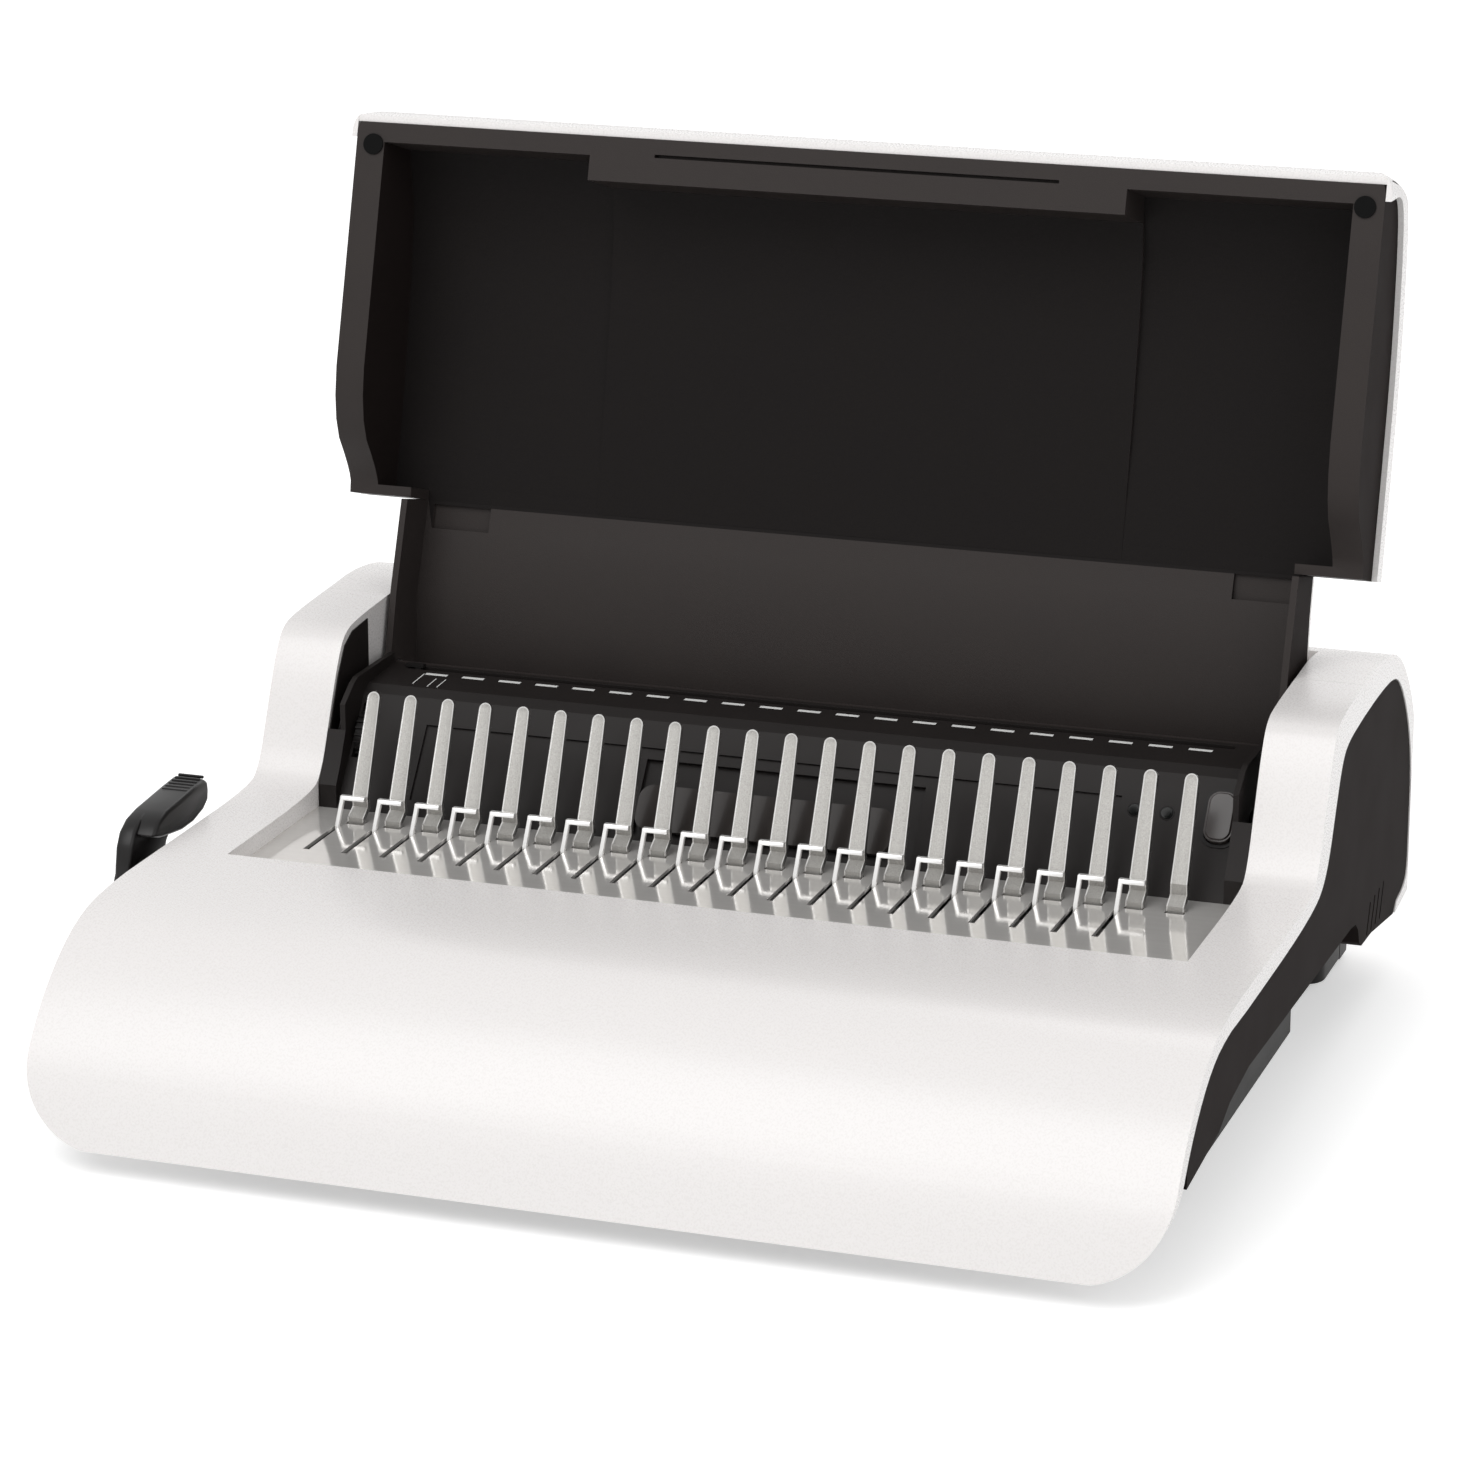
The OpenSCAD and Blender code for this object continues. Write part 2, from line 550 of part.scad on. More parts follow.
module camshaft_gear() {
    color([0.85, 0.83, 0.76]) difference() {
        union() {
            gear(gear_tip_r, gear_teeth, gear_x, gear_x + 5, cam_c);
            rod_x(gear_x, -chassis_x - 3.5, cam_c, 8);
        }
        rod_x(-180, -150, cam_c, cam_shaft_r);
    }
}
module motor_bracket() {
    color(steel) difference() {
        union() {
            box([motor_x - 2.5, motor_y - 15, foot_h + floor_t], [motor_x, 5.5, 54]);
            box([motor_x - 2.5, motor_y - 15, foot_h + floor_t], [motor_x + 14, 5.5, foot_h + floor_t + 2]);
        }
        rod_x(motor_x - 4, motor_x + 4, [motor_y, cam_c[1]], 5);
    }
}
module drive_motor() {
    c = [motor_y, cam_c[1]];
    color([0.55, 0.56, 0.58]) difference() {
        union() {
            rod_x(motor_x, motor_x + 58, c, 16);
            rod_x(motor_x + 58, motor_x + 62, c, 6);
            rod_x(motor_x - 2.5, motor_x, c, 5);
        }
        rod_x(motor_x - 4, motor_x + 16, c, 2 + shaft_play);
    }
}
module motor_pinion() {
    c = [motor_y, cam_c[1]];
    color([0.85, 0.72, 0.35]) {
        gear(pinion_tip_r, pinion_teeth, gear_x - 0.5, gear_x + 5.5, c);
        rod_x(gear_x - 0.5, motor_x + 14, c, 2);
    }
}
module chip_drawer() {
    z0 = foot_h + floor_t + 0.6 + 0.1;
    color(charcoal) difference() {
        union() {
            box([-148, drawer_y0, z0], [153, drawer_y1, drawer_top]);
            box([153 - e, 121, z0], [pan_half - 8, drawer_y1, drawer_top]);
            box([pan_half - 19, bulge_y0, foot_h + 0.4], [pan_half - 8, drawer_y1, drawer_top]);
            box([pan_half - 19, bulge_y0 + 8, foot_h + 0.4], [pan_half, drawer_y1, drawer_top]);
            rod_z(pan_half - 8, bulge_y0 + 8, foot_h + 0.4, drawer_top, 8);
        }
        box([-146, drawer_y0 + 2, z0 + 2], [151, drawer_y1 - 2, 30]);
        box([160, bulge_y0 - 1, z0 + 3], [pan_half - 6, bulge_y0 + 3, drawer_top - 3]);
    }
}
module circuit_board() {
    y = board_y;
    color([0.1, 0.35, 0.2]) box([-120, y, 30], [-20, y + 1.6, 90]);
    color([0.15, 0.15, 0.15]) {
        box([-100, y - 10, 40], [-70, y, 70]);
        box([-55, y - 6, 36], [-35, y, 50]);
        for (x = [-110, -44]) rod_y(x, y - 14, y, 78, 5);
    }
    color([0.6, 0.6, 0.6]) for (x = [-115, -25]) box([x - 3, y - 2, 25.6], [x + 3, y, 34]);
}
module power_inlet() {
    color(black) difference() {
        box([inlet_x - 14.7, 166, 38.3], [inlet_x + 14.7, 184, 61.7]);
        box([inlet_x - 12.2, 168, 41], [inlet_x + 12.2, 190, 59]);
    }
    color(steel) for (x = [-7, 0, 7]) box([inlet_x + x - 1, 167, 47 + (x == 0 ? 4 : 0)],
        [inlet_x + x + 1, 180, 51 + (x == 0 ? 4 : 0)]);
}
module switch_frame() {
    color(black) difference() {
        box([switch_x - 11.2, 172, 42.8], [switch_x + 11.2, 185, 57.2]);
        box([switch_x - 9, 170, 45], [switch_x + 9, 190, 55]);
        rod_x(switch_x - 10.4, switch_x + 10.4, rocker_c, 1.5 + shaft_play);
    }
}
module power_switch() {
    color([0.12, 0.12, 0.12]) {
        sweep_x([[174.5, 45.8], [184.6, 45.4], [183.4, 49.3], [186, 53.2], [174.5, 54.2]],
            switch_x - 8.6, switch_x + 8.6);
        rod_x(switch_x - 10.1, switch_x + 10.1, rocker_c, 1.5);
    }
}

// ---------- controls ----------
module punch_button() {
    color([0.16, 0.15, 0.15]) {
        wall_pad(button_c[0], up_wall(button_c[1]), 10.3, 18.6, 4.3, -2.2, 6);
        wall_pad(button_c[0], up_wall(button_c[1]), 8.6, 16.9, 3.5, -2.8, -2.2 + e);
    }
}
module edge_wheel() {
    color(black) {
        rod_x(-cheek_out, wheel_x + 6.5, wheel_c, 2);
        gear(9.8, 24, wheel_x - 2.5, wheel_x + 2.5, wheel_c);
    }
}
module edge_stop() {
    color(black) {
        box([-153, throat_y - 1.3, 74], [-151, throat_y + 1.3, 108.6]);
        box([-157, throat_y - 1.3, shelf_z + 0.3], [-150, throat_y + 1.3, shelf_z + 1.4]);
    }
}
module lever_bushes() {
    color([0.8, 0.75, 0.6]) {
        difference() {
            union() {
                rod_x(-half - 0.6, -panel_in + 4, lever_c, 7.9);
                rod_x(-panel_in, -panel_in + 4, lever_c, 9.6);
            }
            rod_x(-half - 2, -panel_in + 6, lever_c, lever_shaft_r + shaft_play);
        }
    }
}
module lever_bracket() {
    color(steel) difference() {
        union() {
            box([-156, -74, foot_h + floor_t], [-153.5, -46, 66]);
            box([-156, -74, foot_h + floor_t], [-146, -46, foot_h + floor_t + 2]);
        }
        rod_x(-160, -150, lever_c, lever_shaft_r + shaft_play);
    }
}
module binding_lever() {
    arm = [[-68.6, 57.5], [-69.6, 70], [-68.6, 78], [-64.8, 84.4], [-58.6, 88.8], [-51, 90.6],
        [-38, 90.6], [-12, 83.8], [-5, 81], [-2.4, 77.6], [-3, 73.4], [-6.6, 70.6], [-14, 70],
        [-38, 75.4], [-47, 75.6], [-51, 73], [-52, 68], [-51.4, 57.5]];
    color(black) {
        sweep_x(arm, -lever_out, -lever_in);
        rod_x(-lever_out, -half - 1.2, lever_c, 9);
        rod_x(-lever_out + 2, -150, lever_c, lever_shaft_r);
        for (i = [0:5]) translate([0, -34 + 4.4 * i, 90.3 - 1.15 * i]) rotate([-14.6, 0, 0])
            box([-lever_out + 1.2, -1, -1], [-lever_in - 1.2, 1, 0.7]);
    }
}
module lever_crank() {
    color(steel) difference() {
        union() {
            rod_x(-166, -162, lever_c, 7.5);
            sweep_x([for (p = [[-4, -1], [4, -1], [3, -crank_r], [-3, -crank_r]])
                lever_c + [p[0] * cos(30) + p[1] * sin(30), -p[0] * sin(30) + p[1] * cos(30)]], -166, -162);
            rod_x(-166, -162, lever_c - crank_r * [sin(30), cos(30)], 3.6);
            rod_x(-162, -158.5, lever_c - crank_r * [sin(30), cos(30)], 1.8);
        }
        rod_x(-170, -150, lever_c, lever_shaft_r);
    }
}

// ---------- lid (drawn shut) ----------
lid_top = smooth([[-121.5, 75.6], [-125.6, 92], [-121, 104], [-104, 112.5], [-60, 121], [-16, 122.7],
    [15.6, 122.9]], 2);
neck_top = smooth([[15.5, 122.9], [34, 123.6], [58, 129.6], [78.5, 132.3]], 1);
lid_front = min([for (p = lid_top) p[0]]);
function knuckle(r, a0, a1) = [for (i = [0:8]) let (a = a0 + (a1 - a0) * i / 8) hinge + r * [cos(a), sin(a)]];

// Plan outline of the wings with their two front corners rounded, inset by d.
module lid_plan(d) {
    r = lid_corner_r;
    y0 = lid_front;
    box([-lid_half + d, y0 + r, 60], [lid_half - d, 16, 140]);
    box([-lid_half + r, y0 + d, 60], [lid_half - r, 16, 140]);
    both_sides() rod_z(lid_half - r, y0 + r, 60, 140, r - d);
}
module lid_shell() {
    shut_outer = concat(neck_top, knuckle(knuckle_r, 84, 24));
    color(white) swung_open() {
        intersection() {
            union() {
                difference() {
                    sweep_x(ribbon(lid_top, 2.4), -lid_half, lid_half);
                    box([-lid_half - 1, -130, 60], [lid_half + 1, -100, 76]);
                }
                // Side lips of the wings.
                both_sides() difference() {
                    sweep_x(concat(lid_top, [[15.6, 75.6]]), lid_half - 2, lid_half);
                    sweep_x(concat(shift_line(lid_top, 8), [[17, 60], [-110, 60]]),
                        lid_half - 3, lid_half + 1);
                }
            }
            lid_plan(0);
        }
        sweep_x(ribbon(shut_outer, 2.4), -neck_half, neck_half);
    }
}
module lid_liner() {
    wing = [for (p = shift_line(lid_top, 2.4)) if (p[1] > 77) p];
    rim = smooth([[15.6, 99.5], [8.6, 98.5], [-11, 75.6], [-60, 75.6]], 2);
    wall = 13;                      // width of the rim at the wing ends
    color(charcoal) swung_open() {
        difference() {
            // Tray: block under the shell, hollowed from below.
            intersection() {
                sweep_x(concat([[-118.9, 75.6]], wing, rim), -lid_half + 2.1, lid_half - 2.1);
                lid_plan(2.1);
            }
            // Wing recesses, closed behind only beyond the neck.
            both_sides() sweep_x([[-112, 70], [-112, 101], [-92, 109.6], [-66, 113.4], [-30, 116],
                [12, 117.2], [12, 70]], lid_strip, lid_half - wall);
            both_sides() sweep_x([[10, 117.2], [20, 117.4], [20, 70], [10, 70]], lid_strip, neck_half - 2.4);
            // Central recess, deeper where the fingers stand.
            sweep_x([[-103, 70], [-103, 103], [-90, 107.6], [-66, 111.4], [-30, 114.6], [0, 116.6],
                [20, 117.4], [20, 70]], -lid_strip - e, lid_strip + e);
            // Groove in the front strip, and the bumpers' sockets.
            box([-75, -113.6, 70], [75, -112.4, 78.6]);
            both_sides() rod_z(lid_half - bumper_in, bumper_y, 70, 80, bumper_r);
        }
        // Neck: underside sheet, knuckle and hinge cheeks.
        difference() {
            sweep_x(concat([[15.5, 120.4]], [for (p = shift_line(neck_top, 2.4)) p],
                [[78.5, 120], [50, 114.4], [15.5, 117.4]]), -neck_half, neck_half);
            both_sides() box([141, 17, 110], [neck_half - 5, 26, 119]);
        }
        both_sides() difference() {
            union() {
                sweep_x(concat([[15.5, 118], [16.5, 96.5], [50, 94], [72, 94.4]],
                    [[80, 93], [88, 100], [88, 126], [78.5, 129.4], [50, 123.8], [34, 120.4], [15.5, 119.6]]),
                    neck_half - 2.4, neck_half);
                rod_x(neck_half - 2.4, neck_half, hinge, 9.4);
            }
            rod_x(150, 180, hinge, hinge_pin_r + hinge_play);
        }
    }
}
module lid_bumpers() {
    color(black) swung_open() both_sides() rod_z(lid_half - bumper_in, bumper_y, 74.9, 80, bumper_r);
}
module hinge_pins() {
    color(steel) both_sides() rod_x(neck_half - 3.4, panel_in - 4, hinge, hinge_pin_r);
}
module hinge_brackets() {
    color(black) both_sides() difference() {
        box([well_half + 2.2, 70, 92], [panel_in, 87, 112]);
        rod_x(well_half, panel_in - 4, hinge, hinge_pin_r);
    }
}
module cover_screws() {
    color(steel) both_sides() {
        rod_z(140, -88, 3.4, 22, 1.6);
        rod_z(140, -88, 3.2, 4.9, 3.1);
        rod_z(120, 162, 18.6, 28, 1.6);
        rod_z(120, 162, 18.6, 20.5, 3.1);
    }
}

translate([mid_x, 0, 0]) {
    top_cover();
    rear_cover();
    side_panel_left();
    side_panel_right();
    base_pan();
    rubber_feet();
    well_liner();
    button_bezel();
    indicator_lenses();
    gauge_window();
    hinge_trough();
    comb_plate();
    finger_rack();
    hook_guides();
    hook_rail();
    chassis_plates();
    die_block();
    paper_chute();
    punch_bar();
    punch_pins();
    camshaft();
    camshaft_gear();
    motor_bracket();
    drive_motor();
    motor_pinion();
    chip_drawer();
    circuit_board();
    power_inlet();
    switch_frame();
    power_switch();
    punch_button();
    edge_wheel();
    edge_stop();
    lever_bushes();
    lever_bracket();
    binding_lever();
    lever_crank();
    lid_shell();
    lid_liner();
    lid_bumpers();
    hinge_pins();
    hinge_brackets();
    cover_screws();
}
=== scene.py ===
# %% [markdown]
# # A comb binding machine, dressed around its CAD frame
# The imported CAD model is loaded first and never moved. Every later cell either gives
# a CAD piece its finish, or makes a finer piece that stands in a CAD piece's place.
# Lengths are metres. `MM` lets sizes be read in millimetres, as a maker would say them.

# %% Load the frame
import json
import math

import bmesh
import bpy
from mathutils import Matrix, Vector


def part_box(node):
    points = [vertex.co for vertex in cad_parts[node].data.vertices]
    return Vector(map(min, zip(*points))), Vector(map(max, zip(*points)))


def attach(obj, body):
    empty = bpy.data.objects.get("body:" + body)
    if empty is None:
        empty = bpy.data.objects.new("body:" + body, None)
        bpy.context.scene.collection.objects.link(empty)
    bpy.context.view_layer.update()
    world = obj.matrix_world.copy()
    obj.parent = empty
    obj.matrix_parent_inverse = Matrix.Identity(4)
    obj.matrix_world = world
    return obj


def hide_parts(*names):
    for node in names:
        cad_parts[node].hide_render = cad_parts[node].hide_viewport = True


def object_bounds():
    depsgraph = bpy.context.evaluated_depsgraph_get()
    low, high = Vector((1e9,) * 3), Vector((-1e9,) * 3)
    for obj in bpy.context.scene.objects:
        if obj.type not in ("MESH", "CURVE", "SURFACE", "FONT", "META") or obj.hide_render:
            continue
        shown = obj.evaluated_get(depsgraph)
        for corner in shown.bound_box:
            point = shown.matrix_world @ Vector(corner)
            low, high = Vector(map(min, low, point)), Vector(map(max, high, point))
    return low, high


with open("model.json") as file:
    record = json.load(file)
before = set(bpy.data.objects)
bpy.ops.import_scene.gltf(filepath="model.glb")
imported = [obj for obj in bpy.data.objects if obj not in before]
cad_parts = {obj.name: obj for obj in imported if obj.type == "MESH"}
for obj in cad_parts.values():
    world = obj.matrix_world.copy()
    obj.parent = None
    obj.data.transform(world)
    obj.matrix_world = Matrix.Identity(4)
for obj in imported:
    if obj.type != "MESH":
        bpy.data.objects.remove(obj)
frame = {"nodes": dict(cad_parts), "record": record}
MM = 0.001
cad_box = [list(corner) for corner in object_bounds()]
print("CAD box, metres:", cad_box)

# %% [markdown]
# ## Camera
# A long lens from the front right and a little above keeps upright edges nearly
# parallel. The camera is made first, so that every later choice can be judged
# through it.

# %% Camera
CAMERA_PLACE = Vector((542.56, -1576.8, 625.34)) * MM
CAMERA_DOWN = math.radians(17.034)
CAMERA_TURN = math.radians(18.942)
camera_data = bpy.data.cameras.new("camera")
camera_data.lens = 123.74
camera_data.sensor_width = 36.0
camera_data.clip_end = 20.0
camera = bpy.data.objects.new("camera", camera_data)
camera.location = CAMERA_PLACE
camera.rotation_euler = (math.pi / 2 - CAMERA_DOWN, 0.0, CAMERA_TURN)
bpy.context.scene.collection.objects.link(camera)
bpy.context.scene.camera = camera
print("camera stands", round(CAMERA_PLACE.length, 2), "m from the machine")

# %% [markdown]
# ## Shader maths as plain expressions
# A finish is easier to read as `0.3 + 0.1 * cloud` than as a chain of wired nodes.
# `Signal` wraps one socket, and each operator adds the Math node it stands for.
# `Finish` starts a material and makes any other node from its type, its settings
# and the values or signals of its sockets.

# %% Signal and Finish
class Signal:
    """A number that varies over a surface."""

    def __init__(self, wiring, socket):
        self.wiring = wiring
        self.socket = socket

    def _maths(self, operation, first, second):
        return self.wiring.node("ShaderNodeMath", {"operation": operation}, {0: first, 1: second})

    def __add__(self, other):
        return self._maths("ADD", self, other)

    def __radd__(self, other):
        return self._maths("ADD", other, self)

    def __sub__(self, other):
        return self._maths("SUBTRACT", self, other)

    def __rsub__(self, other):
        return self._maths("SUBTRACT", other, self)

    def __mul__(self, other):
        return self._maths("MULTIPLY", self, other)

    def __rmul__(self, other):
        return self._maths("MULTIPLY", other, self)


class Wiring:
    """A node tree, and the one way that nodes are added to it."""

    def __init__(self, tree, shader):
        self.tree = tree
        self.shader = tree.nodes[shader]

    def node(self, kind, settings, sockets, out=0):
        made = self.tree.nodes.new(kind)
        for key, value in settings.items():
            setattr(made, key, value)
        for key, value in sockets.items():
            if isinstance(value, Signal):
                self.tree.links.new(value.socket, made.inputs[key])
            else:
                made.inputs[key].default_value = value
        return Signal(self, made.outputs[out])

    def feed(self, socket, signal):
        self.tree.links.new(signal.socket, self.shader.inputs[socket])
        return self


class Finish(Wiring):
    """One material, built from expressions."""

    def __init__(self, name, **fixed):
        self.material = bpy.data.materials.new(name)
        self.material.use_nodes = True
        super().__init__(self.material.node_tree, "Principled BSDF")
        for socket, value in fixed.items():
            self.shader.inputs[socket.replace("_", " ")].default_value = value
        self.place = self.node("ShaderNodeTexCoord", {}, {}, out="Object")

    def stretched(self, x, y, z):
        """Object coordinates scaled per axis, for brushed and streaked grain."""
        return self.node("ShaderNodeMapping", {}, {"Vector": self.place, "Scale": (x, y, z)})

    def noise(self, scale, detail=2.0, where=None):
        sockets = {"Vector": where or self.place, "Scale": scale, "Detail": detail}
        return self.node("ShaderNodeTexNoise", {}, sockets)

    def grains(self, scale):
        """Cell pattern whose value falls to nothing at each cell's middle."""
        return self.node("ShaderNodeTexVoronoi", {}, {"Vector": self.place, "Scale": scale})

    def mixed(self, mask, dark, light):
        sockets = {0: mask, 6: dark, 7: light}
        return self.node("ShaderNodeMix", {"data_type": "RGBA"}, sockets, out=2)

    def bumpy(self, height, depth_mm, strength=1.0):
        sockets = {"Height": height, "Distance": depth_mm * MM, "Strength": strength}
        return self.feed("Normal", self.node("ShaderNodeBump", {}, sockets))


def rgb(red, green, blue):
    """Display colour 0-255 to the linear colour that a shader expects."""
    def straight(value):
        value /= 255.0
        return value / 12.92 if value <= 0.04045 else ((value + 0.055) / 1.055) ** 2.4
    return (straight(red), straight(green), straight(blue), 1.0)


print("shader helpers ready")

# %% [markdown]
# ## Finishes
# The covers are glossy white ABS. Such a moulding is nearly even, so large clouds of
# noise would read as stains: a very fine fleck varies its white and its gloss instead.
# The dark mouldings come from a spark-eroded tool, which leaves a fine grain, and
# one function makes them all, because only their tone and shine differ. Plated and
# brushed steel share a second function, whose noise is stretched along the brushing.

# %% White gloss moulding
white_gloss = Finish("white_gloss_moulding", IOR=1.5)
fleck = white_gloss.noise(1500.0, 1.0)
white_gloss.feed("Base Color", white_gloss.mixed(fleck, rgb(238, 235, 233), rgb(243, 240, 239)))
white_gloss.feed("Roughness", 0.265 + 0.02 * fleck)
print("made", white_gloss.material.name)

# %% Grained mouldings
def grained_plastic(name, dark, light, rough, grain_mm=0.35, depth_mm=0.035, shine=0.5):
    finish = Finish(name, IOR=1.46, Specular_IOR_Level=shine)
    cloud = finish.noise(45.0)
    grain = finish.noise(1.0 / (grain_mm * MM), 1.0)
    finish.feed("Base Color", finish.mixed(cloud, dark, light))
    finish.feed("Roughness", rough - 0.06 + 0.12 * cloud)
    finish.bumpy(grain, depth_mm)
    return finish


charcoal = grained_plastic("charcoal_moulding", rgb(45, 40, 39), rgb(50, 45, 43), 0.5, shine=0.22)
side_charcoal = grained_plastic("side_moulding", rgb(31, 26, 25), rgb(36, 31, 30), 0.62, shine=0.02)
# A near-black copy of the charcoal, which paints the shade on the lid recess's floor.
painted_shade_black = grained_plastic("recess_painted_shade", rgb(21, 18, 18), rgb(26, 23, 22), 0.6, shine=0.12)
# A darker copy of the charcoal for the well and its arm linings: painted shade of the recess.
well_shaded_charcoal = grained_plastic("well_charcoal_painted_shade", rgb(27, 24, 23), rgb(32, 28, 27), 0.5, shine=0.22)
soot = grained_plastic("black_moulding", rgb(22, 20, 20), rgb(27, 25, 24), 0.5, shine=0.25)
rubber = grained_plastic("black_rubber", rgb(22, 22, 22), rgb(30, 29, 29), 0.75, 0.6, 0.06)
bumper_black = grained_plastic("bumper_rubber", rgb(7, 7, 7), rgb(11, 11, 11), 0.7, 0.6, 0.03, 0.1)
lever_black = grained_plastic("lever_moulding", rgb(13, 11, 11), rgb(18, 16, 16), 0.34, 0.5, 0.015, 0.35)
button_gloss = grained_plastic("button_gloss", rgb(58, 53, 52), rgb(63, 58, 56), 0.3, 0.7, 0.002)
nylon = grained_plastic("natural_nylon", rgb(226, 220, 200), rgb(234, 229, 212), 0.4)
print("made the moulded plastics")

# %% Brushed and plated metals
LENGTHWISE = (6.0, 900.0, 900.0)
ALL_WAYS_COARSE = (60.0, 60.0, 60.0)
ALL_WAYS_FINE = (90.0, 90.0, 90.0)


def brushed(name, dark, light, rough, along=LENGTHWISE, depth_mm=0.01):
    finish = Finish(name, Metallic=1.0)
    streak = finish.noise(1.0, 3.0, finish.stretched(*along))
    finish.feed("Base Color", finish.mixed(streak, dark, light))
    finish.feed("Roughness", rough - 0.06 + 0.14 * streak)
    finish.bumpy(streak, depth_mm)
    return finish


bright_sheet = brushed("bright_steel_sheet", rgb(206, 205, 203), rgb(228, 227, 225), 0.24)
zinc = brushed("zinc_plated_steel", rgb(168, 170, 172), rgb(190, 192, 193), 0.34, ALL_WAYS_COARSE)
polished_rim = brushed("polished_rim", rgb(196, 195, 193), rgb(216, 215, 213), 0.24, ALL_WAYS_FINE)
brass = brushed("turned_brass", rgb(196, 168, 96), rgb(214, 188, 120), 0.28, ALL_WAYS_COARSE)
print("made the brushed metals")

# %% Polished and pitted steels
mirror_sheet = Finish("polished_comb_plate", Metallic=0.5)
sheen = mirror_sheet.noise(1.0, 3.0, mirror_sheet.stretched(6.0, 400.0, 400.0))
mirror_sheet.feed("Base Color", mirror_sheet.mixed(sheen, rgb(220, 217, 214), rgb(234, 232, 229)))
mirror_sheet.feed("Roughness", 0.07 + 0.05 * sheen)
hook_steel = Finish("formed_hook_steel", Metallic=0.45)
drawn, rubbed = hook_steel.noise(300.0), hook_steel.noise(120.0)
hook_steel.feed("Base Color", hook_steel.mixed(drawn, rgb(236, 235, 233), rgb(246, 245, 244)))
hook_steel.feed("Roughness", 0.16 + 0.08 * rubbed)
pitted = Finish("pitted_finger_steel", Metallic=0.85)
pits = pitted.noise(2900.0, 2.0)
pitted.feed("Base Color", pitted.mixed(pits, rgb(120, 118, 115), rgb(196, 194, 190)))
pitted.feed("Roughness", 0.34 + 0.22 * pits)
pitted.bumpy(pits, 0.04)
print("made the polished and pitted metals")

# %% Small trims
lens_tint = Finish("tinted_lens", IOR=1.4, Specular_IOR_Level=0.25)
speck, film = lens_tint.noise(700.0), lens_tint.noise(300.0)
lens_tint.feed("Base Color", lens_tint.mixed(speck, rgb(10, 11, 11), rgb(22, 24, 23)))
lens_tint.feed("Roughness", 0.1 + 0.1 * film)
smoked = Finish("smoked_clear", IOR=1.49, Specular_IOR_Level=0.15, Coat_Weight=0.05)
haze = smoked.noise(60.0)
smoked.feed("Base Color", smoked.mixed(haze, rgb(46, 42, 40), rgb(62, 57, 55)))
smoked.feed("Roughness", 0.2 + 0.1 * haze)
board = grained_plastic("solder_mask", rgb(20, 92, 48), rgb(28, 104, 56), 0.35)
print("made the trims")

# %% [markdown]
# ## Softened copies of CAD pieces
# A moulded edge is never razor sharp. Each dressed piece starts as a copy of its CAD
# mesh: loose triangles are merged, flat areas become single faces again, and the
# edges that turn sharply are bevelled. The piece then replaces its CAD node. A Bevel
# modifier would do the same by eye, but the operator also gives back the faces that
# it made, and they are needed to keep the rims of the flats crisp.

# %% From bmesh to piece
def place_mesh(bm, name, body, finishes):
    """Turns a finished bmesh into a piece that rides on a body."""
    mesh = bpy.data.meshes.new(name)
    bm.to_mesh(mesh)
    bm.free()
    for finish in finishes:
        mesh.materials.append(finish.material)
    piece = bpy.data.objects.new(name, mesh)
    bpy.context.scene.collection.objects.link(piece)
    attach(piece, body)
    return piece


node_body = {n: b for b, ns in frame["record"]["behaviour"]["bodies"].items() for n in ns}

# %% Rounded edges and shading
def merged_copy(node):
    """The node's mesh with whole faces in place of its loose triangles."""
    bm = bmesh.new()
    bm.from_mesh(frame["nodes"][node].data)
    bmesh.ops.remove_doubles(bm, verts=bm.verts, dist=0.002 * MM)
    bmesh.ops.dissolve_limit(bm, angle_limit=math.radians(0.4), verts=bm.verts, edges=bm.edges)
    return bm


def smooth_below(bm, degrees, rounded=()):
    """Rounded stretches shade smoothly, while corners and the rims of flats stay crisp."""
    rounded = set(rounded)
    for face in bm.faces:
        face.smooth = True
    for edge in bm.edges:
        rims = sum(face in rounded for face in edge.link_faces)
        edge.smooth = rims != 1 and edge.calc_face_angle(0.0) < math.radians(degrees)


def bevel_edges(bm, edges, width_mm, segments):
    """Rounds the edges, and gives back the faces that make the rounding."""
    return bmesh.ops.bevel(bm, geom=edges, offset=width_mm * MM, offset_type="OFFSET",
                           segments=segments, profile=0.5, affect="EDGES", material=-1,
                           clamp_overlap=True)["faces"]


def edges_above(edges, degrees):
    """The edges whose two faces turn by more than the angle."""
    return [edge for edge in edges if edge.calc_face_angle(0.0) > math.radians(degrees)]


print("bevel and shading helpers ready")

# %% Dress a node, or only finish it
def dress(node, finish, width_mm=0.4, segments=3, crease=35.0):
    """A softened copy that takes the node's place."""
    bm = merged_copy(node)
    rounded = bevel_edges(bm, edges_above(bm.edges, 40.0), width_mm, segments)
    smooth_below(bm, crease, rounded)
    piece = place_mesh(bm, node + "_dressed", node_body[node], [finish])
    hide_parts(node)
    print(node, "dressed with", len(piece.data.polygons), "faces")
    return piece


def finish_node(node, finish):
    """A CAD piece that keeps its own mesh and only gets its finish."""
    mesh = frame["nodes"][node].data
    mesh.materials.clear()
    mesh.materials.append(finish.material)
    print(node, "keeps its CAD mesh in", finish.material.name)


# %% [markdown]
# ## Covers, panels and plate
# The big mouldings get a radius near one millimetre, as their tools have, and the thin
# comb plate only a tenth. The well's lining has shallow steps whose edges turn by
# little, so its crease angle is set lower to keep them readable.

